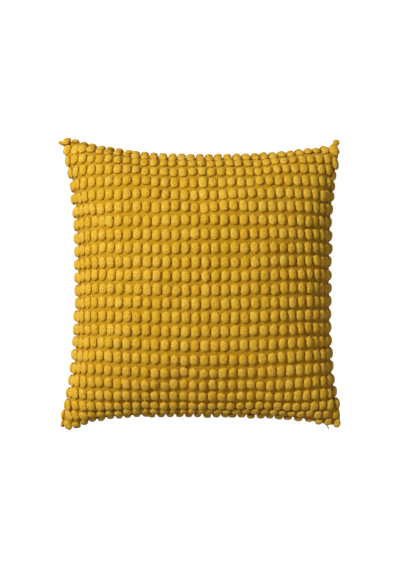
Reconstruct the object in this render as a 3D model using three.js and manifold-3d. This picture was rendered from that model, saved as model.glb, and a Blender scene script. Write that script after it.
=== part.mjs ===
// A filled cushion cover, lying on its back with the bobbled front panel up.
// Millimetres, +Z up, +X to the right of the front and +Y towards its top edge.
// The front is a plain woven ground with rows of raised chenille bobbles; the back is plain.

import * as THREE from 'three';
import { mergeVertices } from 'three/addons/utils/BufferGeometryUtils.js';
import Module from 'manifold-3d';

// The cover as it is sewn, flat, before the pad goes in
const FLAT_WIDE = 650;
const FLAT_HIGH = 650;

// The bobbles, in flat sizes: how many, and how far the outer ones lie from the seam
const COLUMNS = 32;
const ROWS = 24;
const SEAM_TO_FIRST_COLUMN = 7;
const SEAM_TO_LAST_COLUMN = 16;
const SEAM_TO_BOTTOM_ROW = 8;
const SEAM_TO_TOP_ROW = 2;

// One bobble's form: how high its shoulders and its top stand above the ground,
// and how far its shoulders are from those of the next one
const BOBBLE_SHOULDER = 6;
const BOBBLE_TOP = 8.5;
const SHOULDERS_APART_ACROSS = 6;
const SHOULDERS_APART_UP = 10;

// The filled form. Its thickness is shared between the crowned front and the back it lies on
const CROWN = 120;
const BELLY = 104;
const SEAM_HEIGHT = 84;
const CORNER_DROOP = 14;
const ROUNDNESS = 2.2;

// Where the seam's corners come to, filled
const CORNERS = {
  topLeft: { x: -295, y: 308 },
  topRight: { x: 294, y: 298 },
  bottomLeft: { x: -296, y: -306 },
  bottomRight: { x: 302, y: -304 },
};

// How far each side is drawn in at its middle, and how sharply it turns out to its two corners
const SIDES = {
  left: { waist: -256, turnUp: 2.9, turnDown: 2.3 },
  right: { waist: 270, turnUp: 2.8, turnDown: 3.5 },
  top: { waist: 267.5, turnUp: 2.6, turnDown: 2.2 },
  bottom: { waist: -269, turnUp: 3.0, turnDown: 3.0 },
};

// How the cover has slid over its pad, in mm of cloth. Across: to the right everywhere, away from
// the middle, to the right at top and bottom, and into the corners there. Up: upwards everywhere,
// on the right side, on both sides, on the right side above and below the middle, into the corners
// and towards the top and bottom seams
const SLID_ACROSS = { all: -2.7, outward: -4.6, atEnds: -7.2, intoCorners: 24.7 };
const SLID_UP = { all: 4.3, onRight: 4.6, onSides: 4.2, turning: 4.9, intoCorners: 13.6, toSeams: 21.5 };

// The yarn ends that stick out of two corners
const BALL_RADIUS = 7.2;
const BALL_FROM_CORNER = { x: -2, y: 9 };
const NECK_RADIUS = 2.4;
const STUB_RADIUS = 4.2;
const STUB_TIP_RADIUS = 2.6;
const STUB_REACH = { x: -13, y: 4 };
const YARN_SIDES = 10;

const SECTION_STEPS = 96;
const NORMAL_STEP = 0.012;

// The height of a filled section, 1 over its middle and 0 at the seam
function fullness(out) {
  const inside = Math.max(0, 1 - Math.abs(out) ** ROUNDNESS);
  return inside ** (1 / ROUNDNESS);
}

// Walks a section whose height is rise times its half width, and returns a function that
// says how far out a point of the cloth comes, from its share of the way from middle to seam
function clothOverSection(rise) {
  const out = [0];
  const walked = [0];
  let height = rise;
  for (let i = 1; i <= SECTION_STEPS; i += 1) {
    const turn = (i / SECTION_STEPS) * (Math.PI / 2);
    const nextOut = Math.sin(turn) ** (2 / ROUNDNESS);
    const nextHeight = rise * fullness(nextOut);
    const step = Math.hypot(nextOut - out[i - 1], nextHeight - height);
    out.push(nextOut);
    walked.push(walked[i - 1] + step);
    height = nextHeight;
  }
  const whole = walked[SECTION_STEPS];
  return (share) => {
    const target = Math.min(1, Math.abs(share)) * whole;
    let i = 1;
    while (i < SECTION_STEPS && walked[i] < target) {
      i += 1;
    }
    const part = (target - walked[i - 1]) / (walked[i] - walked[i - 1]);
    return Math.sign(share) * (out[i - 1] + part * (out[i] - out[i - 1]));
  };
}

// A side's place at a share of the way from its middle, 0, to the corner at 1 or at -1
function sideAt(side, cornerPlace, along) {
  const turn = along > 0 ? side.turnUp : side.turnDown;
  return side.waist + (cornerPlace - side.waist) * Math.abs(along) ** turn;
}

// The seam's left and right places at a height up the cover, and its top and bottom places across it
function acrossAt(up) {
  const above = up > 0;
  const left = sideAt(SIDES.left, above ? CORNERS.topLeft.x : CORNERS.bottomLeft.x, up);
  const right = sideAt(SIDES.right, above ? CORNERS.topRight.x : CORNERS.bottomRight.x, up);
  return { middle: (left + right) / 2, half: (right - left) / 2 };
}

function upAt(across) {
  const toRight = across > 0;
  const top = sideAt(SIDES.top, toRight ? CORNERS.topRight.y : CORNERS.topLeft.y, across);
  const bottom = sideAt(
    SIDES.bottom,
    toRight ? CORNERS.bottomRight.y : CORNERS.bottomLeft.y,
    across,
  );
  return { middle: (top + bottom) / 2, half: (top - bottom) / 2 };
}

// Where a point of the flat cloth has slid to. Cloth at a seam slides along it only
function slid(x, y) {
  const a = SLID_ACROSS;
  const u = SLID_UP;
  const across = a.all + a.outward * x + (a.atEnds + a.intoCorners * x) * y * y;
  const up = u.all + u.onRight * x + u.onSides * x * x
    + (u.turning * x + u.intoCorners * x * x + u.toSeams * y * y) * y;
  return {
    x: x + (1 - x * x) * across * (2 / FLAT_WIDE),
    y: y + (1 - y * y) * up * (2 / FLAT_HIGH),
  };
}

// The panel's place at flat shares from -1 to 1, with the panel standing off the seam by depth
function panelPoint(flatX, flatY, depth) {
  const { x, y } = slid(flatX, flatY);
  const middleUp = clothOverSection(Math.abs(depth) / upAt(0).half)(y);
  const middleOut = clothOverSection(Math.abs(depth) / acrossAt(0).half)(x);
  const riseAcross = (Math.abs(depth) * fullness(middleUp)) / acrossAt(middleUp).half;
  const riseUp = (Math.abs(depth) * fullness(middleOut)) / upAt(middleOut).half;
  const across = clothOverSection(riseAcross)(x);
  const up = clothOverSection(riseUp)(y);
  const wide = acrossAt(up);
  const high = upAt(across);
  const seam = SEAM_HEIGHT - CORNER_DROOP * (across * up) ** 4;
  return new THREE.Vector3(
    wide.middle + wide.half * across,
    high.middle + high.half * up,
    Math.max(0, seam + depth * fullness(across) * fullness(up)),
  );
}

// A point of the front, raised off its ground along the ground's own normal
function frontPoint(flatX, flatY, raised) {
  const ground = panelPoint(flatX, flatY, CROWN);
  if (raised === 0) {
    return ground;
  }
  const limit = 1 - NORMAL_STEP;
  const x = THREE.MathUtils.clamp(flatX, -limit, limit);
  const y = THREE.MathUtils.clamp(flatY, -limit, limit);
  const alongX = panelPoint(x + NORMAL_STEP, y, CROWN).sub(panelPoint(x - NORMAL_STEP, y, CROWN));
  const alongY = panelPoint(x, y + NORMAL_STEP, CROWN).sub(panelPoint(x, y - NORMAL_STEP, CROWN));
  return ground.addScaledVector(alongX.cross(alongY).normalize(), raised);
}

// The lines between bobbles, as flat shares from -1 to 1, the two seams included
function linesBetween(count, first, last, whole) {
  const pitch = (whole - first - last) / (count - 1);
  const lines = [-1];
  for (let i = 1; i < count; i += 1) {
    lines.push((2 * (first + (i - 0.5) * pitch)) / whole - 1);
  }
  lines.push(1);
  return lines;
}

// The closed surface of the filled cover: the bobbled front and the plain back, sewn round the seam
function cushionGeometry() {
  const columnLines = linesBetween(COLUMNS, SEAM_TO_FIRST_COLUMN, SEAM_TO_LAST_COLUMN, FLAT_WIDE);
  const rowLines = linesBetween(ROWS, SEAM_TO_BOTTOM_ROW, SEAM_TO_TOP_ROW, FLAT_HIGH);
  const places = [];
  const triangle = (a, b, c) => {
    for (const corner of [a, b, c]) {
      places.push(corner.x, corner.y, corner.z);
    }
  };
  const strip = (a, b, c, d) => {
    triangle(a, b, c);
    triangle(a, c, d);
  };

  const bobble = (left, right, low, high) => {
    const inX = SHOULDERS_APART_ACROSS / FLAT_WIDE;
    const inY = SHOULDERS_APART_UP / FLAT_HIGH;
    const corners = [[left, low], [right, low], [right, high], [left, high]];
    const inward = [[1, 1], [-1, 1], [-1, -1], [1, -1]];
    const foot = corners.map(([x, y]) => frontPoint(x, y, 0));
    const shoulder = corners.map(([x, y], i) => frontPoint(
      x + inward[i][0] * inX,
      y + inward[i][1] * inY,
      BOBBLE_SHOULDER,
    ));
    const top = frontPoint((left + right) / 2, (low + high) / 2, BOBBLE_TOP);
    for (let i = 0; i < 4; i += 1) {
      const next = (i + 1) % 4;
      strip(foot[i], foot[next], shoulder[next], shoulder[i]);
      triangle(shoulder[i], shoulder[next], top);
    }
  };

  for (let row = 0; row < ROWS; row += 1) {
    for (let column = 0; column < COLUMNS; column += 1) {
      const left = columnLines[column];
      const right = columnLines[column + 1];
      const low = rowLines[row];
      const high = rowLines[row + 1];
      bobble(left, right, low, high);
      strip(
        panelPoint(left, low, -BELLY),
        panelPoint(left, high, -BELLY),
        panelPoint(right, high, -BELLY),
        panelPoint(right, low, -BELLY),
      );
    }
  }
  return new THREE.BufferGeometry()
    .setAttribute('position', new THREE.Float32BufferAttribute(places, 3));
}

// A round piece of yarn between two places, wider at one end than at the other
function yarnBetween(start, end, startRadius, endRadius) {
  const along = end.clone().sub(start);
  const geometry = new THREE.CylinderGeometry(endRadius, startRadius, along.length(), YARN_SIDES);
  const turn = new THREE.Quaternion().setFromUnitVectors(
    new THREE.Vector3(0, 1, 0),
    along.clone().normalize(),
  );
  const middle = start.clone().add(end).multiplyScalar(0.5);
  return geometry.applyQuaternion(turn).translate(middle.x, middle.y, middle.z);
}

function ballAt(place, radius) {
  return new THREE.SphereGeometry(radius, YARN_SIDES, YARN_SIDES - 2)
    .translate(place.x, place.y, place.z);
}

// The knotted ball of yarn on its thin neck, at the top right corner
function cornerBall() {
  const corner = panelPoint(1, 1, CROWN);
  const ball = corner.clone().add(new THREE.Vector3(BALL_FROM_CORNER.x, BALL_FROM_CORNER.y, 0));
  const root = corner.clone().lerp(ball, -0.5);
  return [yarnBetween(root, ball, NECK_RADIUS, NECK_RADIUS), ballAt(ball, BALL_RADIUS)];
}

// The blunt twisted yarn end at the top left corner
function cornerStub() {
  const corner = panelPoint(-1, 1, CROWN);
  const tip = corner.clone().add(new THREE.Vector3(STUB_REACH.x, STUB_REACH.y, 0));
  const root = corner.clone().lerp(tip, -0.5);
  return [yarnBetween(root, tip, STUB_RADIUS, STUB_TIP_RADIUS)];
}

const wasm = await Module();
wasm.setup();

function solidOf(geometry) {
  const bare = geometry.clone();
  bare.deleteAttribute('normal');
  bare.deleteAttribute('uv');
  const merged = mergeVertices(bare, 1e-3);
  return new wasm.Manifold(new wasm.Mesh({
    numProp: 3,
    vertProperties: new Float32Array(merged.attributes.position.array),
    triVerts: new Uint32Array(merged.index.array),
  }));
}

function geometryOf(solid) {
  const mesh = solid.getMesh();
  const geometry = new THREE.BufferGeometry();
  geometry.setAttribute('position', new THREE.BufferAttribute(mesh.vertProperties, 3));
  geometry.setIndex(new THREE.BufferAttribute(mesh.triVerts, 1));
  geometry.computeVertexNormals();
  return geometry;
}

let solid = solidOf(cushionGeometry());
for (const yarn of [...cornerBall(), ...cornerStub()]) {
  solid = solid.add(solidOf(yarn));
}

const mustardCloth = new THREE.MeshStandardMaterial({
  color: '#D9A42C',
  roughness: 0.9,
  metalness: 0,
});

const cushion = new THREE.Mesh(geometryOf(solid), mustardCloth);
cushion.name = 'cushion';

// The origin is on the surface it lies on, under the middle of its outline
const part = new THREE.Group();
part.add(cushion);
const middle = new THREE.Box3().setFromObject(cushion).getCenter(new THREE.Vector3());
cushion.position.set(-middle.x, -middle.y, 0);

export default part;
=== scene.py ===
# %% [markdown]
# # A filled cushion cover with raised chenille bobbles
# The real thing is two squares of cloth sewn together round the edge and filled with a soft pad.
# The front has rows of bobbles: short lengths of chenille yarn, cut so that the pile fluffs out.
# The back is plain. It lies on its back, and the camera looks straight down on the front.
# Lengths in this file are in millimetres until a mesh is made, because cloth is measured that way.

# %% Load the fixed frame
import math

import bpy
import numpy as np
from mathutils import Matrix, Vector


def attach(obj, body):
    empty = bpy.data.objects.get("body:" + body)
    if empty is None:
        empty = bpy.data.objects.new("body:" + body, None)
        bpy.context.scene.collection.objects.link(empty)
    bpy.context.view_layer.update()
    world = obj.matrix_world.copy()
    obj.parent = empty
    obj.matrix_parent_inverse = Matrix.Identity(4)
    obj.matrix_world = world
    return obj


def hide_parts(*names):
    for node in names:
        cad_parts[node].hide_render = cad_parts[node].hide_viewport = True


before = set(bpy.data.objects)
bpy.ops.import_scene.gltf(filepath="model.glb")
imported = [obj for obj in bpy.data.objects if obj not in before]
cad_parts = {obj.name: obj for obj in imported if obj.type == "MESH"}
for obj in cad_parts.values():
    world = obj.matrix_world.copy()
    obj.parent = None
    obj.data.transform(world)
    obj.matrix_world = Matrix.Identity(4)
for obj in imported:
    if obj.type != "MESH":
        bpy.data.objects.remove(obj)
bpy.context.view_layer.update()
MM = 0.001
CAD_NODE = "cushion"

# %% [markdown]
# ## The camera comes first
# A product photographer hangs the camera over the table, so the cushion's face is square to it.
# A long lens keeps the swelling front from looking bulged. The distance and the width that the
# picture covers fix the lens: focal length over sensor size equals distance over width.

# %% Camera
PHOTO_WIDE, PHOTO_HIGH = 400, 570
MM_PER_PIXEL = 2.12
SEAM_HEIGHT = 84
CAMERA_ABOVE_SEAM = 2038
SENSOR = 36
# Sizes are measured from the point under the camera, over the drawn-in body. The frame's origin is
# under the middle of the outline's box, which lies this far from that point
OUTLINE_MIDDLE = np.array([-3.331, 4.182, 0.0])

camera_data = bpy.data.cameras.new("camera")
camera_data.sensor_width = SENSOR
camera_data.lens = SENSOR * CAMERA_ABOVE_SEAM / (PHOTO_HIGH * MM_PER_PIXEL)
camera = bpy.data.objects.new("camera", camera_data)
camera.location = (
    -OUTLINE_MIDDLE[0] * MM,
    -OUTLINE_MIDDLE[1] * MM,
    (CAMERA_ABOVE_SEAM + SEAM_HEIGHT) * MM,
)
bpy.context.scene.collection.objects.link(camera)
bpy.context.scene.camera = camera
print("lens in mm:", round(camera_data.lens, 1))

# %% [markdown]
# ## The form of the filled cover
# Cloth hardly stretches, so a cover's points keep their spacing when it is filled: they follow the
# curve of the pad. The section is a superellipse, rounder at the edge than an ellipse.
# Every point of a panel is known by its flat place, from -1 to 1 across and up. We walk along the
# section to find how far out the cloth comes, and the seam's drawn-in sides scale the result.

# %% The sizes of the filled cover
FLAT_WIDE, FLAT_HIGH = 650, 650
CROWN = 120
BELLY = 104
CORNER_DROOP, DROOP_POWER = 14, 4
ROUNDNESS = 2.2
CORNERS = {
    "top left": (-295, 310),
    "top right": (298, 299),
    "bottom left": (-295, -308),
    "bottom right": (305, -304),
}
# Each side: its place at the waist, and how sharply it turns out to its upper or right corner
# and to its lower or left corner
SIDES = {
    "left": {"waist": -255, "turn_up": 2.9, "turn_down": 2.3},
    "right": {"waist": 270, "turn_up": 2.8, "turn_down": 3.0},
    "top": {"waist": 266, "turn_up": 2.6, "turn_down": 2.2},
    "bottom": {"waist": -270, "turn_up": 3.0, "turn_down": 3.7},
}
# How the cover has slid over its pad, in mm of cloth. Across: to the right everywhere, away from
# the middle, to the right at top and bottom, and into the corners there. Up: upwards everywhere,
# on the right side, on both sides, on the right side above and below the middle, into the corners
# and towards the top and bottom seams
SLID_ACROSS = {"all": -1.1, "outward": -1.7, "at_ends": -7.5, "into_corners": 16.3}
SLID_UP = {
    "all": 3.1, "on_right": 4.9, "on_sides": -0.4,
    "turning": 3.9, "into_corners": 11.0, "to_seams": 31.1,
}
# At a corner the front's cloth has also rolled on past the edge, by so many mm to the right and up.
# The power says how quickly that fades away from the corner
ROLLED_OVER = {
    "top left": {"right": -21, "up": 1},
    "top right": {"right": -1, "up": 22},
    "bottom left": {"right": -12, "up": 3},
    "bottom right": {"right": 0, "up": 3},
}
ROLLED_POWER = 2
top_width = CORNERS["top right"][0] - CORNERS["top left"][0]
print("the top side is drawn in from", FLAT_WIDE, "mm to", top_width, "mm between its corners")


# %% How far out the cloth of a section comes
def fullness(out):
    """The height of a filled section, 1 over its middle and 0 at the seam."""
    return np.clip(1 - np.abs(out) ** ROUNDNESS, 0, None) ** (1 / ROUNDNESS)


def walked_sections(rises, shares, steps=240):
    """How far out each share of a section's cloth comes. A rise is a section's height over its half
    width, and each rise gives one row of the table."""
    turn = np.linspace(0, math.pi / 2, steps)
    out = np.sin(turn) ** (2 / ROUNDNESS)
    rows = []
    for rise in rises:
        along = np.hypot(np.diff(out), np.diff(rise * fullness(out)))
        walked = np.concatenate([[0], np.cumsum(along)])
        rows.append(np.interp(shares * walked[-1], walked, out))
    return np.array(rows)


RISES = np.linspace(0, 0.6, 61)
SHARES = np.linspace(0, 1, 301)
SECTIONS = walked_sections(RISES, SHARES)
# Places in a table stop this little short of its end, so that there is always a next row or column
SHORT_OF_END = 1.000001


def between(table, row, column):
    """Values of a table at places between its rows and columns."""
    row = np.clip(row, 0, table.shape[0] - SHORT_OF_END)
    column = np.clip(column, 0, table.shape[1] - SHORT_OF_END)
    r, c = row.astype(int), column.astype(int)
    fr, fc = row - r, column - c
    if table.ndim == 3:
        fr, fc = fr[..., None], fc[..., None]
    upper = table[r, c] * (1 - fc) + table[r, c + 1] * fc
    lower = table[r + 1, c] * (1 - fc) + table[r + 1, c + 1] * fc
    return upper * (1 - fr) + lower * fr


def out_at(share, rise):
    """How far out a share of the cloth comes, from -1 to 1, in a section of a given rise."""
    found = between(SECTIONS, rise / RISES[1], np.abs(share) / SHARES[1])
    return np.sign(share) * found


half_out = out_at(np.array(0.5), CROWN / SIDES["right"]["waist"])
print("half of the cloth from the middle to the seam comes", half_out.round(3), "of the way out")


# %% The drawn-in sides
def side_at(side, up_corner, down_corner, along):
    """A side's place at a place along it: its waist at 0, and its corners at 1 and -1."""
    s = SIDES[side]
    corner = np.where(along > 0, up_corner, down_corner)
    turn = np.where(along > 0, s["turn_up"], s["turn_down"])
    return s["waist"] + (corner - s["waist"]) * np.abs(along) ** turn


def across_at(up):
    """The middle and the half width of the cover at a height in the picture."""
    left = side_at("left", CORNERS["top left"][0], CORNERS["bottom left"][0], up)
    right = side_at("right", CORNERS["top right"][0], CORNERS["bottom right"][0], up)
    return (left + right) / 2, (right - left) / 2


def up_at(across):
    """The middle and the half height in the picture of the cover, at a place across it."""
    top = side_at("top", CORNERS["top right"][1], CORNERS["top left"][1], across)
    bottom = side_at("bottom", CORNERS["bottom right"][1], CORNERS["bottom left"][1], across)
    return (top + bottom) / 2, (top - bottom) / 2


print("waists in mm:", 2 * across_at(0.0)[1], "across and", 2 * up_at(0.0)[1], "up")


# %% A panel's filled form
def slid(x, y):
    """Where a point of the flat cloth has slid to. Cloth at a seam slides along it only."""
    a, u = SLID_ACROSS, SLID_UP
    across = a["all"] + a["outward"] * x + (a["at_ends"] + a["into_corners"] * x) * y * y
    up = u["all"] + u["on_right"] * x + u["on_sides"] * x * x
    up = up + (u["turning"] * x + u["into_corners"] * x * x + u["to_seams"] * y * y) * y
    return (
        x + (1 - x * x) * across * 2 / FLAT_WIDE,
        y + (1 - y * y) * up * 2 / FLAT_HIGH,
    )


def smooth_panel(x, y, depth):
    """A panel's places for flat places x and y. depth is over 0 in front and under 0 behind."""
    x, y = slid(*np.broadcast_arrays(np.asarray(x, float), np.asarray(y, float)))
    tall = abs(depth)
    middle_up = out_at(y, tall / up_at(0.0)[1])
    middle_out = out_at(x, tall / across_at(0.0)[1])
    across = out_at(x, tall * fullness(middle_up) / across_at(middle_up)[1])
    up = out_at(y, tall * fullness(middle_out) / up_at(middle_out)[1])
    centre_x, half_x = across_at(up)
    centre_y, half_y = up_at(across)
    seam = SEAM_HEIGHT - CORNER_DROOP * (across * up) ** DROOP_POWER
    height = seam + depth * fullness(across) * fullness(up)
    places = np.stack([centre_x + half_x * across, centre_y + half_y * up, height], axis=-1)
    return places - OUTLINE_MIDDLE


crown = smooth_panel(0, 0, CROWN)
print("the crown stands at", crown.round(1))

# %% [markdown]
# ## Letting the cloth settle
# A drawn form is too perfect: real cloth puckers along its seam and dimples where there is a little
# too much of it. So the two panels are joined into one closed bag, given a few per cent more cloth
# than the form needs, held at the seam and blown up by Cloth with inner pressure and no gravity.
# The form's sizes are known already, so only the unevenness of the settled cloth is kept: what is
# left when a blurred copy of its movement is taken away. The bag keeps its lattice of flat places,
# and the bobbles can follow the settled cloth later.
#
# Blender takes a mesh fastest as whole arrays: all coordinates in one row, then all faces' corners.
# A panel is a grid of points whose cells are its faces, and two panels share the seam's points.

# %% Grids and meshes from arrays
def lattice(count_x, count_y):
    """The flat places of a grid with so many cells across and up."""
    return np.meshgrid(np.linspace(-1, 1, count_x + 1), np.linspace(-1, 1, count_y + 1))


def quads(rows, columns, first=0, flip=False):
    """The faces of a grid of points that has rows by columns cells."""
    index = first + np.arange((rows + 1) * (columns + 1)).reshape(rows + 1, columns + 1)
    a, b, c, d = index[:-1, :-1], index[:-1, 1:], index[1:, 1:], index[1:, :-1]
    around = (a, d, c, b) if flip else (a, b, c, d)
    return np.stack(around, axis=-1).reshape(-1, 4)


def new_object(name, points, faces):
    """A smooth mesh object from points in mm and faces that all have the same number of corners."""
    faces = np.asarray(faces, np.int32)
    metres = (np.asarray(points, np.float64) * MM).astype(np.float32)
    mesh = bpy.data.meshes.new(name)
    mesh.vertices.add(len(points))
    mesh.vertices.foreach_set("co", metres.ravel())
    mesh.loops.add(faces.size)
    mesh.loops.foreach_set("vertex_index", faces.ravel())
    mesh.polygons.add(len(faces))
    starts = np.arange(0, faces.size, faces.shape[1], dtype=np.int32)
    mesh.polygons.foreach_set("loop_start", starts)
    mesh.polygons.foreach_set("use_smooth", np.full(len(faces), True))
    mesh.update()
    mesh.validate()
    made = bpy.data.objects.new(name, mesh)
    bpy.context.scene.collection.objects.link(made)
    return made


def points_of(mesh):
    """A mesh's points in millimetres."""
    flat = np.empty(len(mesh.vertices) * 3, np.float32)
    mesh.vertices.foreach_get("co", flat)
    return flat.reshape(-1, 3) / MM


print("faces of a grid with 2 by 1 cells:", quads(1, 2).tolist())


# %% Two panels joined at the seam
def is_rim(shape):
    """Which points of a grid lie on its rim."""
    rim = np.zeros(shape, bool)
    rim[[0, -1], :] = True
    rim[:, [0, -1]] = True
    return rim


def join_at_seam(front, back, faces):
    """One set of points for both panels, where the back's rim uses the front's points."""
    rows, columns = front.shape[:2]
    count = rows * columns
    index = np.arange(count).reshape(rows, columns)
    rim = is_rim((rows, columns))
    target = np.concatenate([np.arange(count), np.arange(count) + count])
    target[count:][rim.ravel()] = index[rim]
    used, place = np.unique(target, return_inverse=True)
    both = np.concatenate([front.reshape(-1, 3), back.reshape(-1, 3)])
    return both[used], place[faces], place


def rim_of(place, shape):
    """The joined points that lie on the seam."""
    return place[: shape[0] * shape[1]][is_rim(shape).ravel()]


# %% Blow up the bag
LATTICE = 112
CLOTH_FRAMES = 20
INNER_PRESSURE = 4.0
SPARE_CLOTH = 0.035
MOST_SETTLING = 7.0
BLUR_CELLS = 7


def blurred(values, cells):
    """A running mean over a square of cells, taken twice along each axis."""
    kernel = np.ones(2 * cells + 1) / (2 * cells + 1)
    for axis in (0, 1, 0, 1):
        before = np.repeat(values.take([0], axis), cells, axis)
        after = np.repeat(values.take([-1], axis), cells, axis)
        wide = np.concatenate([before, values, after], axis)
        values = np.apply_along_axis(lambda line: np.convolve(line, kernel, "valid"), axis, wide)
    return values


def settled_bag():
    """How far each lattice point of the front and the back moves when the cloth is blown up."""
    x, y = lattice(LATTICE, LATTICE)
    front, back = smooth_panel(x, y, CROWN), smooth_panel(x, y, -BELLY)
    faces = np.concatenate([
        quads(LATTICE, LATTICE),
        quads(LATTICE, LATTICE, first=x.size, flip=True),
    ])
    points, faces, place = join_at_seam(front, back, faces)
    bag = new_object("bag", points, faces)
    cloth = bag.modifiers.new("cloth", "CLOTH")
    settings = cloth.settings
    settings.quality = 6
    settings.mass = 0.25
    settings.tension_stiffness = 20
    settings.compression_stiffness = 20
    settings.shear_stiffness = 10
    settings.bending_stiffness = 0.8
    settings.use_pressure = True
    settings.uniform_pressure_force = INNER_PRESSURE
    settings.shrink_min = -SPARE_CLOTH
    seam = bag.vertex_groups.new(name="seam")
    seam.add(rim_of(place, x.shape).tolist(), 1.0, "REPLACE")
    settings.vertex_group_mass = "seam"
    settings.effector_weights.gravity = 0
    cloth.collision_settings.use_collision = False
    cloth.point_cache.frame_start = 1
    cloth.point_cache.frame_end = CLOTH_FRAMES
    for step in range(1, CLOTH_FRAMES + 1):
        bpy.context.scene.frame_set(step)
    shown = bag.evaluated_get(bpy.context.evaluated_depsgraph_get())
    moved = points_of(shown.to_mesh()) - points
    shown.to_mesh_clear()
    bpy.data.objects.remove(bag)
    bpy.context.scene.frame_set(1)
    both = moved[place].reshape(2, LATTICE + 1, LATTICE + 1, 3)
    uneven_part = [panel - blurred(panel, BLUR_CELLS) for panel in both]
    far = [np.linalg.norm(panel, axis=-1, keepdims=True) for panel in uneven_part]
    return [panel * MOST_SETTLING / (MOST_SETTLING + f) for panel, f in zip(uneven_part, far)]


front_settling, back_settling = settled_bag()
print("the cloth settles by up to", np.abs(front_settling).max().round(1), "mm")


# %% Find any place on the settled cover
def settled(settling, x, y):
    """How far the cloth has moved at flat places, read between the bag's points."""
    return between(settling, (np.asarray(y) + 1) * LATTICE / 2, (np.asarray(x) + 1) * LATTICE / 2)


def front_at(x, y):
    """Places on the settled front."""
    return smooth_panel(x, y, CROWN) + settled(front_settling, x, y)


def back_at(x, y):
    """Places on the settled back, which the floor stops."""
    places = smooth_panel(x, y, -BELLY) + settled(back_settling, x, y)
    places[..., 2] = np.maximum(places[..., 2], 0)
    return places


def from_seam(x, y):
    """How many millimetres of flat cloth lie between a place and the nearest seam."""
    return np.minimum((1 - np.abs(x)) * FLAT_WIDE / 2, (1 - np.abs(y)) * FLAT_HIGH / 2)


def rolled(x, y):
    """Where flat places of the front come to lie at the corners. A place past 1 is on the back."""
    for name, shift in ROLLED_OVER.items():
        side_x, side_y = (1 if "right" in name else -1), (1 if "top" in name else -1)
        near = (np.clip(side_x * x, 0, None) * np.clip(side_y * y, 0, None)) ** ROLLED_POWER
        x, y = x + near * shift["right"] * 2 / FLAT_WIDE, y + near * shift["up"] * 2 / FLAT_HIGH
    return x, y


def anywhere_at(x, y):
    """A place on the front or, past a seam, where the cloth goes on over the back."""
    past_x, past_y = np.abs(x) > 1, np.abs(y) > 1
    back_x = np.where(past_x, 2 * np.sign(x) - x, x)
    back_y = np.where(past_y, 2 * np.sign(y) - y, y)
    front = front_at(np.clip(x, -1, 1), np.clip(y, -1, 1))
    return np.where((past_x | past_y)[..., None], back_at(back_x, back_y), front)


# %% Directions along the cloth and out of it
def unit(vectors):
    """Vectors made one long. The tiny number keeps a vector of no length from dividing by zero."""
    return vectors / np.maximum(np.linalg.norm(vectors, axis=-1, keepdims=True), 1e-9)


def cloth_frame(x, y, step=0.02):
    """The directions along the cloth to the right and up, and straight out of it, from points that
    lie a step of the flat place to each side."""
    right = unit(anywhere_at(x + step, y) - anywhere_at(x - step, y))
    up = anywhere_at(x, y + step) - anywhere_at(x, y - step)
    out = unit(np.cross(right, up))
    return right, np.cross(out, right), out


print("straight out of the crown is", cloth_frame(np.array([0.0]), np.array([0.0]))[2].round(2))

# %% [markdown]
# ## The bobbles
# A bobble is a bunch of yarn whose cut pile fans out, so it is widest a little above the cloth and
# curls in under itself. Seen from above it has straight sides and blunt or pointed ends, and no two
# are alike. One formula gives the outline: a superellipse whose power up the bobble is high, which
# keeps its sides straight, and whose power across is lower, which makes its ends pointed or blunt.
# Every bobble is a small dome of rings, and all of a row's bobbles are one mesh made from arrays.

# %% Where the bobbles are
COLUMNS, ROWS = 32, 24
SEAM_TO_FIRST_COLUMN, SEAM_TO_LAST_COLUMN = 7, 16
SEAM_TO_BOTTOM_ROW, SEAM_TO_TOP_ROW = 8, 2


def flat_places(count, first, last, whole):
    """Even places from the middle of the cloth, with so much left at its first and last seam."""
    pitch = (whole - first - last) / (count - 1)
    return first + pitch * np.arange(count) - whole / 2, pitch


column_places, column_pitch = flat_places(
    COLUMNS, SEAM_TO_FIRST_COLUMN, SEAM_TO_LAST_COLUMN, FLAT_WIDE
)
row_places, row_pitch = flat_places(ROWS, SEAM_TO_BOTTOM_ROW, SEAM_TO_TOP_ROW, FLAT_HIGH)
print("bobbles every", round(column_pitch, 2), "mm across and", round(row_pitch, 2), "mm up, flat")

# %% [markdown]
# ### Noise for pile and for unevenness
# Two kinds are used. Smooth noise bends rows and swells pile. Tufts are bunches of fibre that stand
# side by side: every place belongs to the nearest of many scattered middles, and is high near it.

# %% Noise in space
NOISE_SIDE = 32


def noise_values(cells, seed, numbers):
    """Random numbers from 0 to 1 for cells of space, which repeat after NOISE_SIDE cells."""
    values = np.random.default_rng(seed).random((NOISE_SIDE,) * 3 + (numbers,))
    at = cells % NOISE_SIDE
    return values[at[..., 0], at[..., 1], at[..., 2]]


def smooth_noise(points, size, seed):
    """Smooth noise from -1 to 1 whose lumps are about size apart."""
    p = np.asarray(points) / size
    whole = np.floor(p).astype(np.int64)
    f = p - whole
    f = f * f * (3 - 2 * f)
    total = 0
    for corner in np.ndindex(2, 2, 2):
        weight = np.prod(np.where(corner, f, 1 - f), axis=-1)
        total = total + weight * noise_values(whole + corner, seed, 1)[..., 0]
    return total * 2 - 1


def tufts(points, size, seed):
    """How near each point is to the middle of its tuft: 1 in the middle and 0 far out."""
    p = np.asarray(points) / size
    whole = np.floor(p).astype(np.int64)
    nearest = np.full(p.shape[:-1], np.inf)
    for step in np.ndindex(3, 3, 3):
        cell = whole + step - 1
        middle = cell + noise_values(cell, seed, 3)
        nearest = np.minimum(nearest, ((middle - p) ** 2).sum(axis=-1))
    return np.clip(1 - nearest, 0, 1)


along_a_line = [[0.37 * i, 0.0, 0.0] for i in range(4)]
print("smooth noise along a line:", smooth_noise(along_a_line, 1.0, 1).round(2))

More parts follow.
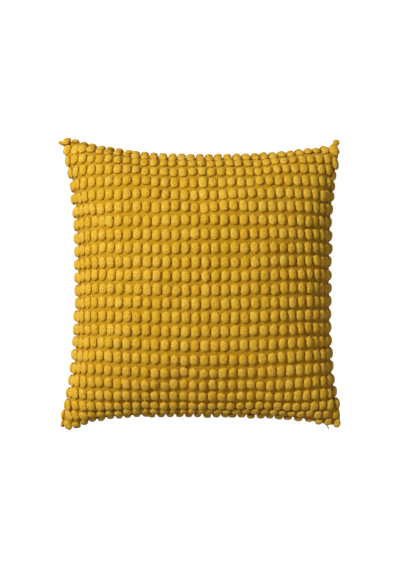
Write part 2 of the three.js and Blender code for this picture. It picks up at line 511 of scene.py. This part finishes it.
# %% [markdown]
# ### Which bobbles lie otherwise
# Near the seam and the corners the cloth is crowded, so some bobbles are pushed aside, squeezed or
# spread. This short table lists them. Rows count from the top, and columns from the left, from
# the first to the last named. They are moved by so many mm and are so many times as large.

# %% Odd bobbles
ODD_BOBBLES = [
    {"row": 1, "columns": (1, 1), "right": 6, "up": -8, "size": 0.45},
    {"row": 1, "columns": (2, 2), "right": 4, "up": -6, "size": 1.0},
    {"row": 1, "columns": (3, 9), "right": 5, "up": 0, "size": 1.0},
    {"row": 2, "columns": (31, 31), "right": 0, "up": 2, "size": 0.9},
    {"row": 2, "columns": (32, 32), "right": 2, "up": -4, "size": 1.3},
    {"row": 3, "columns": (26, 31), "right": 0, "up": -3, "size": 0.95},
    {"row": 3, "columns": (32, 32), "right": 0, "up": -12, "size": 1.2},
    {"row": 4, "columns": (32, 32), "right": 0, "up": -11, "size": 1.0},
    {"row": 5, "columns": (32, 32), "right": 0, "up": -7, "size": 1.0},
    {"row": 23, "columns": (9, 17), "right": -1, "up": 5, "size": 1.0},
    {"row": 23, "columns": (18, 25), "right": -7, "up": 5, "size": 1.0},
    {"row": 23, "columns": (26, 31), "right": -8, "up": 4, "size": 0.88},
    {"row": 24, "columns": (1, 1), "right": 2, "up": 4, "size": 0.7},
    {"row": 24, "columns": (5, 11), "right": 0, "up": 3, "size": 0.88},
    {"row": 24, "columns": (12, 17), "right": -7, "up": 2, "size": 0.92},
    {"row": 24, "columns": (18, 20), "right": -7, "up": 0, "size": 1.0},
    {"row": 24, "columns": (21, 27), "right": -12, "up": 0, "size": 1.0},
    {"row": 24, "columns": (28, 28), "right": -9, "up": 3, "size": 1.0},
    {"row": 24, "columns": (29, 29), "right": -6, "up": 4, "size": 0.9},
    {"row": 24, "columns": (30, 30), "right": -3, "up": 5, "size": 0.9},
    {"row": 24, "columns": (31, 31), "right": 0, "up": 6, "size": 0.9},
    {"row": 24, "columns": (32, 32), "right": 3, "up": 3, "size": 0.85},
]
odd_count = sum(odd["columns"][1] - odd["columns"][0] + 1 for odd in ODD_BOBBLES)
print("bobbles that lie otherwise:", odd_count)

# %% The outline of every bobble
BOBBLE_HALF_WIDE = 8.5
BOBBLE_HALF_TALL = 11.4
BOBBLE_HIGH = 6.8
SEED = 7
# The most by which places wander, in mm, and the distance over which the rows bend
WANDER_ACROSS, WANDER_UP, BENDS_OVER = 0.7, 0.9, 110
# The most by which sizes differ, as shares, and by which bobbles lean and turn
WIDTH_VARIES, LENGTH_VARIES, HEIGHT_VARIES = 0.08, 0.11, 0.14
LEAN_VARIES, TURN_VARIES = 0.22, math.radians(5)
# A side's power is between these two. An end's starts from a point and is now and then blunter
SIDE_POWERS = (2.7, 4.2)
END_POWER, BLUNTER_BY = 1.05, 1.45

chance = np.random.default_rng(SEED)
many = COLUMNS * ROWS
across_flat, up_flat = (a.ravel() for a in np.meshgrid(column_places, row_places))


def uneven(spread):
    """One number a bobble, mostly within spread of 0."""
    return np.clip(chance.normal(0, spread / 2, many), -spread, spread)


# The needle wanders a little from bobble to bobble, and the tufting rows bend over longer ways
place = np.stack([across_flat, up_flat, 0 * up_flat], axis=-1)
bend_across = WANDER_ACROSS * smooth_noise(place, BENDS_OVER, SEED + 4)
bend_up = WANDER_UP * smooth_noise(place, BENDS_OVER, SEED + 5)
across_flat = across_flat + uneven(WANDER_ACROSS) + bend_across
up_flat = up_flat + uneven(WANDER_UP) + bend_up
reach = {
    "right": BOBBLE_HALF_WIDE * (1 + uneven(WIDTH_VARIES)),
    "left": BOBBLE_HALF_WIDE * (1 + uneven(WIDTH_VARIES)),
    "top": BOBBLE_HALF_TALL * (1 + uneven(LENGTH_VARIES)),
    "bottom": BOBBLE_HALF_TALL * (1 + uneven(LENGTH_VARIES)),
}
times_as_large = np.ones(many)
for odd in ODD_BOBBLES:
    first, last = odd["columns"]
    start = (ROWS - odd["row"]) * COLUMNS
    own = slice(start + first - 1, start + last)
    across_flat[own] += odd["right"]
    up_flat[own] += odd["up"]
    times_as_large[own] = odd["size"]
centre_x, centre_y = rolled(
    (across_flat + times_as_large * (reach["right"] - reach["left"]) / 2) / (FLAT_WIDE / 2),
    (up_flat + times_as_large * (reach["top"] - reach["bottom"]) / 2) / (FLAT_HIGH / 2),
)
half_wide = times_as_large * (reach["right"] + reach["left"]) / 2
half_tall = times_as_large * (reach["top"] + reach["bottom"]) / 2
side_power = chance.uniform(*SIDE_POWERS, many)
top_power = END_POWER + BLUNTER_BY * chance.random(many) ** 2
bottom_power = END_POWER + BLUNTER_BY * chance.random(many) ** 2
top_lean = uneven(LEAN_VARIES)
bottom_lean = uneven(LEAN_VARIES)
turned = uneven(TURN_VARIES)
high = times_as_large * BOBBLE_HIGH * (1 + uneven(HEIGHT_VARIES))
tone = uneven(1.0)
mean_size = (2 * half_wide.mean(), 2 * half_tall.mean(), high.mean())
print("bobbles:", many, "of about", [round(float(size), 1) for size in mean_size], "mm")

# %% [markdown]
# ### One bobble's rings
# From its top the dome goes out over a rounded shoulder to its widest ring, and from there it curls
# in under itself to a foot that is sunk in the cloth. A point in the middle closes it at each end.
# Heights are shares of the bobble's own. Then lumps and tufts, in mm, push its surface out and in,
# away from a point a little over the cloth. Each bobble takes its noise from a place of its own.

# %% A dome's profile and outline
AROUND = 36
OVER_RINGS, UNDER_RINGS = 10, 4
# Shares of the height: where the dome is widest, and how deep its foot is sunk
WIDEST_AT, SUNK = 0.4, 0.6
# A higher power gives a flatter top. The foot is drawn in by this share of the reach
CAP_POWER = 3.4
CURLED_IN = 0.16
HALVINGS = 22


def dome_profile():
    """For each ring: its share of the outline's reach, and of the bobble's height."""
    over = np.sin(np.linspace(0, 1, OVER_RINGS + 1)[1:] * math.pi / 2)
    under = np.linspace(0, 1, UNDER_RINGS + 1)[1:]
    out = np.concatenate([over, 1 - CURLED_IN * under**2])
    up = np.concatenate([
        WIDEST_AT + (1 - WIDEST_AT) * (1 - over**CAP_POWER),
        WIDEST_AT - (WIDEST_AT + SUNK) * under,
    ])
    return out, up


def outline_reach(angle, half_x, half_y, power_x, power_y):
    """How far the outline is from the middle in a direction, by halving the interval."""
    low, far = np.zeros_like(angle), np.full_like(angle, 2.0) * np.maximum(half_x, half_y)
    x, y = np.abs(np.cos(angle)), np.abs(np.sin(angle))
    for _ in range(HALVINGS):
        middle = (low + far) / 2
        inside = (x * middle / half_x) ** power_x + (y * middle / half_y) ** power_y < 1
        low, far = np.where(inside, middle, low), np.where(inside, far, middle)
    return low


print("a dome's rings go out to", dome_profile()[0].round(2), "of its outline")

# %% Domes of pile
LUMP_SIZE, LUMP_DEEP = 6.5, 0.4
TUFT_SIZE, TUFT_DEEP, TUFT_LEVEL = 2.6, 0.9, 0.62
PUSHED_FROM, PUSHED_UPWARD = 1.5, 0.8
# The push grows from nothing at the cloth to its whole at this share of the height
WHOLE_PUSH_AT = 0.25
NOISE_STEPS = np.array([17.3, 9.1, 5.7])


def domes():
    """Each bobble's points in its own frame, by bobble, point and axis, and how deep in a tuft
    each of them lies."""
    turn = np.broadcast_to(np.arange(AROUND) * 2 * math.pi / AROUND, (many, AROUND))
    power_x = np.where(np.sin(turn) > 0, top_power[:, None], bottom_power[:, None])
    edge = outline_reach(turn, half_wide[:, None], half_tall[:, None], power_x, side_power[:, None])
    out, up = dome_profile()
    x = out[None, :, None] * (edge * np.cos(turn))[:, None]
    y = out[None, :, None] * (edge * np.sin(turn))[:, None]
    z = up[None, :, None] * high[:, None, None] + 0 * x
    lean = np.where(y > 0, top_lean[:, None, None], bottom_lean[:, None, None])
    x = x + lean * half_wide[:, None, None] * (y / half_tall[:, None, None]) ** 2
    c, s = np.cos(turned)[:, None, None], np.sin(turned)[:, None, None]
    rings = np.stack([x * c - y * s, x * s + y * c, z], axis=-1).reshape(many, -1, 3)
    nothing = 0 * high
    top = np.stack([nothing, nothing, high], axis=-1)[:, None]
    foot = np.stack([nothing, nothing, -SUNK * high], axis=-1)[:, None]
    places = np.concatenate([top, rings, foot], axis=1)

    own = np.arange(many)[:, None, None] * NOISE_STEPS
    outward = unit(places / [1, 1, PUSHED_UPWARD] - [0, 0, PUSHED_FROM])
    in_tuft = tufts(places + own, TUFT_SIZE, SEED + 1)
    lumps = LUMP_DEEP * smooth_noise(places + own, LUMP_SIZE, SEED + 2)
    push = lumps + TUFT_DEEP * (in_tuft - TUFT_LEVEL)
    shown = np.clip(places[..., 2] / high[:, None] / WHOLE_PUSH_AT, 0, 1)
    return places + outward * (push * shown)[..., None], in_tuft


dome_places, in_tuft = domes()
dome_points = dome_places.shape[1]
print("points in a bobble:", dome_points, "and its tufts are", TUFT_SIZE, "mm wide")

# %% Set the domes on the cloth
GROUND_LIFT = 1.8

ground = anywhere_at(centre_x, centre_y)
right, up, out = cloth_frame(centre_x, centre_y)
axes = np.stack([right, up, out], axis=1)
lifted = dome_places + [0, 0, GROUND_LIFT]
points_on_cloth = ground[:, None] + lifted @ axes
print("bobbles are set from", ground.min(axis=0).round(), "to", ground.max(axis=0).round(), "mm")


# %% Each row of bobbles as one mesh
def dome_faces(rings, around):
    """The triangles of a dome: its first point is its top and its last the middle of its foot."""
    last = 1 + rings * around
    faces = []
    for i in range(around):
        j = (i + 1) % around
        faces.append((0, 1 + i, 1 + j))
        faces.append((last, last - around + j, last - around + i))
        for ring in range(rings - 1):
            a, b = 1 + ring * around + i, 1 + ring * around + j
            faces.append((a, a + around, b + around))
            faces.append((a, b + around, b))
    return np.array(faces)


def set_numbers(thing, name, values):
    """Gives every point of a mesh a number that a material can read by its name."""
    layer = thing.data.attributes.new(name, "FLOAT", "POINT")
    layer.data.foreach_set("value", np.asarray(values, np.float32).ravel())


one_dome = dome_faces(OVER_RINGS + UNDER_RINGS, AROUND)
# Painted shade: the pile's colour darkens from its widest ring down its undercut to the foot, where
# shade falls under the bobble.
pile_height = np.clip(dome_places[..., 2] / (WIDEST_AT * high[:, None]), 0, 1)
bobble_rows = []
for row in range(ROWS):
    own = slice(row * COLUMNS, (row + 1) * COLUMNS)
    faces = one_dome[None] + (np.arange(COLUMNS) * dome_points)[:, None, None]
    piece = new_object(
        f"bobble_row_{ROWS - row:02d}", points_on_cloth[own].reshape(-1, 3), faces.reshape(-1, 3)
    )
    set_numbers(piece, "pile_height", pile_height[own])
    # The tuft number also colours the pile: painted shade in the crevices between tufts, and paler
    # tuft tops, partly the fibre ends' own colour and partly painted light.
    set_numbers(piece, "in_tuft", in_tuft[own])
    set_numbers(piece, "tone", np.repeat(tone[own], dome_points))
    bobble_rows.append(piece)
print("triangles in a row of bobbles:", len(one_dome) * COLUMNS)

# %% [markdown]
# ## The cover's cloth
# Both panels are plain weave. The seam pulls the cloth in along its line, and the ground dips a
# little between the bobbles. The mesh follows the same flat lattice, finer than the settled bag,
# and its UVs are the flat cloth in millimetres, so that the weave runs true over the form.

# %% Front and back panels as one cover
CELLS_ACROSS_BOBBLE, CELLS_UP_BOBBLE = 4, 6
SEAM_PINCH, PINCH_WIDE = 1.6, 2.2
CORNER_TURNED_IN, CORNER_WIDE = 11.0, 15.0
# How deep the ground dips between bobbles, and which share of that lies across and which up
DIP, DIP_ACROSS, DIP_UP = 0.8, 0.4, 0.6
# The back stands out this much at its sides, as the front does by its lift
BACK_LIFT = 1.5
# Directions out of the cloth are read no nearer to the seam than this flat place
NEAR_SEAM = 0.98
SEAM_MIDDLE = np.array([0.0, 0.0, SEAM_HEIGHT])


def pinched(places, x, y):
    """Draws the cloth in along the seam, and blunts the corners, where it is folded inside."""
    inward = unit((SEAM_MIDDLE - places) * [1, 1, 0])
    amount = SEAM_PINCH * np.exp(-((from_seam(x, y) / PINCH_WIDE) ** 2))
    to_corner = np.hypot((1 - np.abs(x)) * FLAT_WIDE / 2, (1 - np.abs(y)) * FLAT_HIGH / 2)
    amount = amount + CORNER_TURNED_IN * np.exp(-((to_corner / CORNER_WIDE) ** 2))
    return places + inward * amount[..., None]


def cover():
    """Both panels as one closed mesh, with the flat cloth as its UVs."""
    count_x, count_y = COLUMNS * CELLS_ACROSS_BOBBLE, ROWS * CELLS_UP_BOBBLE
    x, y = lattice(count_x, count_y)
    _, _, out = cloth_frame(*np.clip((x, y), -NEAR_SEAM, NEAR_SEAM))
    phase_x = (x * FLAT_WIDE / 2 - column_places[0]) / column_pitch
    phase_y = (y * FLAT_HIGH / 2 - row_places[0]) / row_pitch
    wave = np.cos(2 * math.pi * phase_x) * DIP_ACROSS + np.cos(2 * math.pi * phase_y) * DIP_UP
    raised = GROUND_LIFT + DIP * (wave - 1) / 2
    front = pinched(front_at(x, y) + out * raised[..., None], x, y)
    back = back_at(x, y)
    back = back + unit((back - SEAM_MIDDLE) * [1, 1, 0]) * BACK_LIFT
    back = pinched(back, x, y)
    faces = np.concatenate([
        quads(count_y, count_x),
        quads(count_y, count_x, first=x.size, flip=True),
    ])
    flat_uv = np.stack([x * FLAT_WIDE / 2, y * FLAT_HIGH / 2], axis=-1).reshape(-1, 2)
    both_uv = np.concatenate([flat_uv, flat_uv])[faces.ravel()]
    points, faces, _ = join_at_seam(front, back, faces)
    made = new_object("cover", points, faces)
    made.data.uv_layers.new(name="flat_cloth_mm").uv.foreach_set("vector", both_uv.ravel())
    return made


cover_piece = cover()
print("triangles in the cover:", 2 * len(cover_piece.data.polygons))

# %% [markdown]
# ## Yarn ends at the corners
# Where a row of chenille ends in a corner of the seam, a bit of yarn is left. One is a ball on a
# thin neck, one a blunt twisted stub and one a single hair-thin thread. Each is a tube swept along
# a few points, with a radius for each point, and twisted yarn gets ridges that turn as they go.
# The path is smoothed a few times, and noise roughens the surface a little, as loose fibres do.

# %% A tube of yarn along points
SMOOTHINGS = 4
FUZZ_SIZE, FUZZ_DEEP = 1.6, 0.3
# Yarn ends are dressed in the bobbles' pile material, which reads these numbers; the first two set
# how much painted shade they get.
YARN_NUMBERS = {"pile_height": 0.8, "in_tuft": 0.6, "tone": 0.0}


def yarn(name, path, radii, sides=20, steps=28, strands=0, twist=0.0, ridge=0.0):
    """A closed tube along a smooth path. strands ridges turn round it twist times in all."""
    path, radii = np.asarray(path, float), np.asarray(radii, float)
    t = np.linspace(0, 1, len(path))
    fine = np.linspace(0, 1, steps)
    line = np.stack([np.interp(fine, t, path[:, k]) for k in range(3)], axis=1)
    for _ in range(SMOOTHINGS):
        line[1:-1] = (line[:-2] + 2 * line[1:-1] + line[2:]) / 4
    width = np.interp(fine, t, radii)
    ahead = unit(np.gradient(line, axis=0))
    side = unit(np.cross(ahead, [0.0, 0.0, 1.0]))
    above = np.cross(side, ahead)
    angle = np.arange(sides) * 2 * math.pi / sides
    turn = angle[None, :] * strands + fine[:, None] * twist * 2 * math.pi
    radius = width[:, None] * (1 + ridge * np.cos(turn))
    ring = (
        line[:, None]
        + (radius * np.cos(angle))[..., None] * side[:, None]
        + (radius * np.sin(angle))[..., None] * above[:, None]
    )
    fuzz = smooth_noise(ring, FUZZ_SIZE, SEED + 3)[..., None] * np.minimum(width, 1)[:, None, None]
    ring = ring + unit(ring - line[:, None]) * fuzz * FUZZ_DEEP
    points = np.concatenate([line[:1], ring.reshape(-1, 3), line[-1:]])
    last = len(points) - 1
    faces = []
    for i in range(sides):
        j = (i + 1) % sides
        faces.append((0, 1 + j, 1 + i))
        faces.append((last, last - sides + i, last - sides + j))
        for k in range(steps - 1):
            a, b = 1 + k * sides + i, 1 + k * sides + j
            faces.append((a, b, b + sides))
            faces.append((a, b + sides, a + sides))
    made = new_object(name, points, np.array(faces))
    for number, value in YARN_NUMBERS.items():
        set_numbers(made, number, np.full(len(points), value))
    return made


# %% Places at the corners
CORNER_HEIGHT = SEAM_HEIGHT - CORNER_DROOP
# Heights over the corner, in mm
NECK_ABOVE, BALL_ABOVE, STUB_ABOVE = 3, 6, 2
THREAD_START_ABOVE, THREAD_END_ABOVE = 22, 8
# Places in the picture, in pixels
BALL_AT, NECK_AT, NECK_FROM = (336.1, 142.8), (336.6, 147.0), (335.4, 150.5)
STUB_PLACES = [(68.0, 146.6), (64.0, 144.5), (60.8, 143.0), (58.8, 142.0)]
THREAD_START, THREAD_END = (324.8, 421.6), (328.6, 429.0)


def at_pixel(pixel, height):
    """The place at a height above the floor that shows at a pixel of the 400 by 570 picture."""
    farther = (CAMERA_ABOVE_SEAM + SEAM_HEIGHT - height) / CAMERA_ABOVE_SEAM
    x = (pixel[0] - PHOTO_WIDE / 2) * MM_PER_PIXEL * farther
    y = (PHOTO_HIGH / 2 - pixel[1]) * MM_PER_PIXEL * farther
    return np.array([x, y, height]) - OUTLINE_MIDDLE


print("the neck leaves the seam at", at_pixel(NECK_FROM, CORNER_HEIGHT).round(1))

# %% Ball, stub and thread
BALL_RADIUS, BALL_RINGS = 7.2, 9
NECK_RADII = [2.6, 2.1]
STUB_RADII = [3.2, 3.5, 4.0, 2.4]
THREAD_RADII = [1.4, 1.3, 1.0]
THREAD_BOW = [1.2, 0, 0]

neck = [at_pixel(NECK_FROM, CORNER_HEIGHT), at_pixel(NECK_AT, CORNER_HEIGHT + NECK_ABOVE)]
ball_middle = at_pixel(BALL_AT, CORNER_HEIGHT + BALL_ABOVE)
# A ball is a tube whose radius follows a circle. It stops just short of its poles
ball_steps = np.linspace(-0.96, 0.96, BALL_RINGS) * BALL_RADIUS
corner_ball = yarn(
    "corner_ball",
    neck + [ball_middle + [0, along, 0] for along in ball_steps],
    NECK_RADII + [math.sqrt(BALL_RADIUS**2 - along**2) for along in ball_steps],
    steps=40,
)
corner_stub = yarn(
    "corner_stub",
    [at_pixel(place, CORNER_HEIGHT + STUB_ABOVE) for place in STUB_PLACES],
    STUB_RADII,
    strands=3,
    twist=1.6,
    ridge=0.16,
)
start = at_pixel(THREAD_START, CORNER_HEIGHT + THREAD_START_ABOVE)
end = at_pixel(THREAD_END, CORNER_HEIGHT + THREAD_END_ABOVE)
loose_thread = yarn(
    "loose_thread",
    [start, start * 0.5 + end * 0.5 + THREAD_BOW, end],
    THREAD_RADII,
    sides=8,
    strands=2,
    twist=6,
    ridge=0.1,
)
yarn_ends = [corner_ball, corner_stub, loose_thread]
print("yarn ends:", [piece.name for piece in yarn_ends])


# %% [markdown]
# ## Materials
# Both materials are dyed cotton. A material is a small tree of nodes, and one function adds a node
# with its settings and links. Colours are written as sRGB hex, as in a paint program, and turned to
# the linear numbers that a renderer needs, by the curve of the sRGB standard.

# %% Helpers for materials
def linear(hex_colour):
    """The linear red, green, blue and alpha of an sRGB colour such as #C9950F."""
    parts = [int(hex_colour[i:i + 2], 16) / 255 for i in (1, 3, 5)]
    return (*(p / 12.92 if p <= 0.04045 else ((p + 0.055) / 1.055) ** 2.4 for p in parts), 1.0)


def add(tree, kind, settings=None, **links):
    """Adds a node. settings are its own properties, or the stops of its colour ramp. links give its
    inputs, by name or by number, as values or as the outputs of other nodes."""
    node = tree.nodes.new(kind)
    for name, value in (settings or {}).items():
        if name != "stops":
            setattr(node, name, value)
            continue
        elements = node.color_ramp.elements
        while len(elements) < len(value):
            elements.new(0.5)
        for element, (place, colour) in zip(elements, value):
            element.position = place
            element.color = linear(colour)
    for name, value in links.items():
        socket = node.inputs[int(name[1:]) if name[1:].isdigit() else name.replace("_", " ")]
        if isinstance(value, bpy.types.NodeSocket):
            tree.links.new(value, socket)
        else:
            socket.default_value = value
    return node


def new_material(name):
    """A material with an empty tree of nodes."""
    material = bpy.data.materials.new(name)
    material.use_nodes = True
    material.node_tree.nodes.clear()
    return material, material.node_tree


print("#C9950F is linear", [round(part, 3) for part in linear("#C9950F")])

# %% [markdown]
# ### Plain-woven cotton ground
# Plain weave crosses every thread over one and under the next. Its threads are about 0.9 mm apart
# here; that is finer than a pixel of the picture, so the weave is drawn at 1.8 mm to show at all.
# Two sets of waves are the threads, and a checker says which set lies on top. Spun yarn has thicker
# places, or slubs, every few millimetres, and the dye takes unevenly over patches of some
# centimetres. Cotton is matt, with a faint bloom from loose fibres, which Sheen gives.

# %% Ground cloth material
THREAD_SPACING = 1.8
# One slub every 2.4 mm, and one patch every 38 mm
SLUBS_PER_METRE, PATCHES_PER_METRE = 420.0, 26.0
SLUBS_SHOW, PATCHES_SHOW, WEAVE_SHOWS = 0.35, 0.35, 0.3
COTTON_SHADES = [(0.15, "#AA7904"), (0.5, "#C9950F"), (0.85, "#DAAA20")]


def woven_cotton():
    """Dyed plain weave, which follows the UVs of the flat cloth."""
    material, tree = new_material("plain_woven_cotton")
    flat = add(tree, "ShaderNodeUVMap", {"uv_map": "flat_cloth_mm"}).outputs["UV"]
    threads = add(
        tree, "ShaderNodeVectorMath", {"operation": "SCALE"}, _0=flat, Scale=1 / THREAD_SPACING
    ).outputs["Vector"]
    split = add(tree, "ShaderNodeSeparateXYZ", Vector=threads)
    rounds = []
    for axis in ("X", "Y"):
        turn = add(
            tree, "ShaderNodeMath", {"operation": "MULTIPLY"}, _0=split.outputs[axis], _1=math.pi
        )
        wave = add(tree, "ShaderNodeMath", {"operation": "SINE"}, _0=turn.outputs[0])
        rounds.append(add(tree, "ShaderNodeMath", {"operation": "ABSOLUTE"}, _0=wave.outputs[0]))
    over = add(tree, "ShaderNodeTexChecker", Vector=threads, Scale=1.0)
    weave = add(
        tree,
        "ShaderNodeMix",
        _0=over.outputs["Fac"],
        _2=rounds[0].outputs[0],
        _3=rounds[1].outputs[0],
    ).outputs[0]
    place = add(tree, "ShaderNodeTexCoord").outputs["Object"]
    slubs = add(tree, "ShaderNodeTexNoise", Vector=place, Scale=SLUBS_PER_METRE, Detail=2.0)
    patches = add(tree, "ShaderNodeTexNoise", Vector=place, Scale=PATCHES_PER_METRE, Detail=3.0)
    parts = [(slubs.outputs["Fac"], SLUBS_SHOW), (patches.outputs["Fac"], PATCHES_SHOW)]
    tint = 0.0
    for part, weight in parts + [(weave, WEAVE_SHOWS)]:
        tint = add(
            tree, "ShaderNodeMath", {"operation": "MULTIPLY_ADD"}, _0=part, _1=weight, _2=tint
        ).outputs[0]
    colour = add(
        tree, "ShaderNodeValToRGB", {"stops": COTTON_SHADES}, Fac=tint
    ).outputs["Color"]
    bump = add(
        tree, "ShaderNodeBump", Strength=0.6, Distance=0.0005, Height=weave
    ).outputs["Normal"]
    shader = add(tree, "ShaderNodeBsdfPrincipled", Base_Color=colour, Roughness=0.9, Normal=bump)
    shader.inputs["Specular IOR Level"].default_value = 0.15
    shader.inputs["Sheen Weight"].default_value = 0.06
    shader.inputs["Sheen Roughness"].default_value = 0.5
    add(tree, "ShaderNodeOutputMaterial", Surface=shader.outputs[0])
    return material


# %% [markdown]
# ### Cut chenille pile
# Chenille is made by trapping short cut lengths of soft yarn between two twisted threads, so its
# surface is thousands of fibre ends. Light sinks in between them, and that is painted shade in its
# colour: darker and warmer at its root and between its tufts. Its tufts are paler at their tops,
# partly the fibre ends' own colour and partly painted light. Its edge glows a little, which is what
# Sheen stands for. Each bobble takes dye a little differently. Within a tuft the fibres stand in
# bunches. A fibre is far finer than a pixel, so bunches 2 mm apart are the finest that is drawn.

# %% Chenille material
BUNCH_SPACING = 2.0
# How much of the shade each cause gives, and between which sums the colours are spread. The tuft
# and height numbers paint shade into the crevices and under the widest ring; tone is each bobble's
# own dye.
BUNCHES_SHOW, ALL_OVER = 0.75, 0.12
PILE_SHOWS = {"in_tuft": 0.3, "pile_height": 0.45, "tone": 0.05}
DARKEST, PALEST = 0.62, 1.42
# The darkest stop is mostly painted shade at the root and in the crevices, and the palest is partly
# painted light on the tuft tops.
PILE_SHADES = [(0.0, "#8E5A00"), (0.35, "#CE960C"), (0.62, "#E0AA20"), (1.0, "#F6D364")]


def chenille():
    """Dyed cut pile with painted shade, which reads the numbers that its mesh holds."""
    material, tree = new_material("cut_chenille_cotton")
    place = add(tree, "ShaderNodeTexCoord").outputs["Object"]
    scale = 1000 / BUNCH_SPACING
    bunches = add(
        tree, "ShaderNodeTexNoise", Vector=place, Scale=scale, Detail=2.0, Roughness=0.6
    ).outputs["Fac"]
    shade = add(
        tree, "ShaderNodeMath", {"operation": "MULTIPLY_ADD"},
        _0=bunches, _1=BUNCHES_SHOW, _2=ALL_OVER,
    ).outputs[0]
    for attribute, weight in PILE_SHOWS.items():
        value = add(tree, "ShaderNodeAttribute", {"attribute_name": attribute}).outputs["Fac"]
        shade = add(
            tree, "ShaderNodeMath", {"operation": "MULTIPLY_ADD"}, _0=value, _1=weight, _2=shade
        ).outputs[0]
    shade = add(
        tree, "ShaderNodeMapRange", Value=shade, _1=DARKEST, _2=PALEST, _3=0.0, _4=1.0
    ).outputs["Result"]
    colour = add(
        tree, "ShaderNodeValToRGB", {"stops": PILE_SHADES}, Fac=shade
    ).outputs["Color"]
    bump = add(
        tree, "ShaderNodeBump", Strength=0.65, Distance=0.0009, Height=bunches
    ).outputs["Normal"]
    shader = add(tree, "ShaderNodeBsdfPrincipled", Base_Color=colour, Roughness=0.95, Normal=bump)
    shader.inputs["Specular IOR Level"].default_value = 0.1
    shader.inputs["Sheen Weight"].default_value = 0.15
    shader.inputs["Sheen Roughness"].default_value = 0.5
    shader.inputs["Sheen Tint"].default_value = linear("#F8D470")
    add(tree, "ShaderNodeOutputMaterial", Surface=shader.outputs[0])
    return material


# %% Dress the pieces
cover_piece.data.materials.append(woven_cotton())
pile = chenille()
for piece in bobble_rows + yarn_ends:
    piece.data.materials.append(pile)
for piece in [cover_piece] + bobble_rows + yarn_ends:
    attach(piece, "root")
for piece in [cover_piece] + bobble_rows:
    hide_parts(CAD_NODE)
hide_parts(CAD_NODE)
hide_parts(CAD_NODE)
print("pieces:", 1 + len(bobble_rows) + len(yarn_ends))

# %% [markdown]
# ## A plain studio
# The cushion lies on lit opal sheet with a wall of the same behind it, as pictures for a shop are
# often made, so all round it is white with hardly a shadow. One softbox stands to the upper left,
# so that every bobble is bright on its upper left and throws a short shadow on its neighbour. A
# weak one stands low to the lower right, which hardly reaches the face but shows the sides, and a
# pale room fills the rest. The softbox is a little cooler than the room, so the bright side of a
# bobble is lemon and its shaded side warm.

# %% Floor and wall of opal sheet
ROOM_RADIUS, WALL_HIGH, ROOM_SIDES = 20000, 16000, 96
# The floor lies this little under the cushion's back, so that the two don't share a plane
UNDER_CUSHION = np.array([0, 0, 1])

ring = np.arange(ROOM_SIDES) * 2 * math.pi / ROOM_SIDES
circle = np.stack([np.cos(ring), np.sin(ring), 0 * ring], axis=1) * ROOM_RADIUS
low_circle, high_circle = circle - UNDER_CUSHION, circle + [0, 0, WALL_HIGH]
sides = [(i, (i + 1) % ROOM_SIDES) for i in range(ROOM_SIDES)]
floor = new_object(
    "floor", np.concatenate([[-UNDER_CUSHION], low_circle]), [(0, 1 + i, 1 + j) for i, j in sides]
)
wall = new_object(
    "white_wall", np.concatenate([low_circle, high_circle]),
    [(i, j, ROOM_SIDES + j, ROOM_SIDES + i) for i, j in sides],
)
lit_white, white_tree = new_material("lit_opal_sheet")
sheet_shader = add(
    white_tree, "ShaderNodeBsdfPrincipled", Base_Color=linear("#707070"), Roughness=0.8
)
sheet_shader.inputs["Emission Color"].default_value = linear("#FFFFFF")
sheet_shader.inputs["Emission Strength"].default_value = 1.0
add(white_tree, "ShaderNodeOutputMaterial", Surface=sheet_shader.outputs[0])
# The opal sheets are lit for the picture only: their light doesn't reach the cushion
for opal_sheet in (floor, wall):
    opal_sheet.data.materials.append(lit_white)
    opal_sheet.visible_diffuse = False
wall.visible_shadow = False
print("the room is", 2 * ROOM_RADIUS * MM, "m wide")

# %% Lights and the room's glow
LIGHT_DISTANCE = 3.0
AIMED_AT = Vector((0, 0, 0.1))
# Where the room is brightest, and its colours from the darkest side to that one
WINDOW_SIDE = (-0.62, 0.45, 0.64)
ROOM_SHADES = [(0.0, "#524F48"), (0.5, "#878377"), (0.75, "#BFBAAA"), (1.0, "#FFFAE8")]
ROOM_STRENGTH = 0.57


def softbox(name, toward, size, watts, colour="#FFFFFF"):
    """A square area light, its size in metres, that shines on the cushion from a direction."""
    light = bpy.data.lights.new(name, "AREA")
    light.size = size
    light.energy = watts
    light.color = linear(colour)[:3]
    made = bpy.data.objects.new(name, light)
    direction = Vector(toward).normalized()
    made.location = direction * LIGHT_DISTANCE + AIMED_AT
    made.rotation_euler = direction.to_track_quat("Z", "Y").to_euler()
    bpy.context.scene.collection.objects.link(made)
    print(name, "is", size, "m wide and gives", watts, "W")


softbox("key_light", toward=(-0.57, 0.34, 0.75), size=0.35, watts=69, colour="#F5FDFF")
softbox("fill_light", toward=(0.64, -0.6, 0.1), size=1.6, watts=12)
world = bpy.data.worlds.new("pale_room")
world.use_nodes = True
room = world.node_tree
heading = add(room, "ShaderNodeTexCoord").outputs["Generated"]
to_window = add(
    room, "ShaderNodeVectorMath", {"operation": "DOT_PRODUCT"}, _0=heading, _1=WINDOW_SIDE
).outputs["Value"]
share = add(room, "ShaderNodeMapRange", Value=to_window, _1=-1.0, _2=1.0).outputs["Result"]
walls = add(room, "ShaderNodeValToRGB", {"stops": ROOM_SHADES}, Fac=share).outputs["Color"]
room.links.new(walls, room.nodes["Background"].inputs["Color"])
room.nodes["Background"].inputs["Strength"].default_value = ROOM_STRENGTH
bpy.context.scene.world = world
bpy.context.scene.view_settings.view_transform = "Standard"
